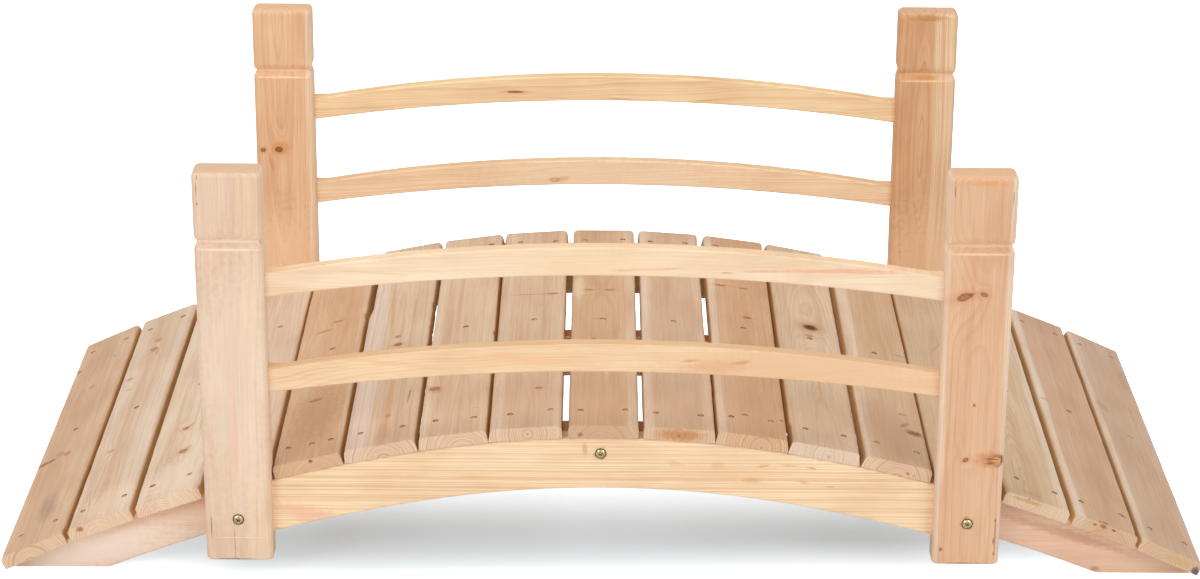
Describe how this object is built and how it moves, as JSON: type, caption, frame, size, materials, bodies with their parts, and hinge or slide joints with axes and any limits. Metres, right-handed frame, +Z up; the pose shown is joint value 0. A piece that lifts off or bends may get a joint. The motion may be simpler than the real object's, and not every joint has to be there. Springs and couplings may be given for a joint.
{
  "type": "moon bridge",
  "caption": "Small arched wooden garden bridge: curved beams, plank deck, grooved posts and twin curved rails on each side.",
  "frame": {"origin": "on the ground, at the middle of the bridge in plan", "axes": "+X along the walkway to the right, +Y across the walkway to the back railing, +Z up"},
  "size_m": [1.4292, 0.7, 0.5155],
  "materials": {
    "beam_wood": "bare planed softwood, pinkish",
    "deck_wood": "bare planed softwood, greyish beige",
    "post_wood": "bare planed softwood, salmon to tan",
    "side_board_wood": "bare planed pine, pale yellow",
    "rail_wood": "bare planed pine, pale yellow",
    "screw_metal": "yellow zinc plated steel screws and bright nails"
  },
  "bodies": {
    "root": {"beam_front": "beam_wood", "beam_middle": "beam_wood", "beam_back": "beam_wood", "deck_board_01": "deck_wood", "deck_board_02": "deck_wood", "deck_board_03": "deck_wood", "deck_board_04": "deck_wood", "deck_board_05": "deck_wood", "deck_board_06": "deck_wood", "deck_board_07": "deck_wood", "deck_board_08": "deck_wood", "deck_board_09": "deck_wood", "deck_board_10": "deck_wood", "deck_board_11": "deck_wood", "deck_board_12": "deck_wood", "deck_board_13": "deck_wood", "deck_board_14": "deck_wood", "deck_board_15": "deck_wood", "deck_board_16": "deck_wood", "deck_board_17": "deck_wood", "side_board_front": "side_board_wood", "rail_front_upper": "rail_wood", "rail_front_lower": "rail_wood", "post_front_left": "post_wood", "post_front_right": "post_wood", "side_board_back": "side_board_wood", "rail_back_upper": "rail_wood", "rail_back_lower": "rail_wood", "post_back_left": "post_wood", "post_back_right": "post_wood"}
  },
  "joints": []
}
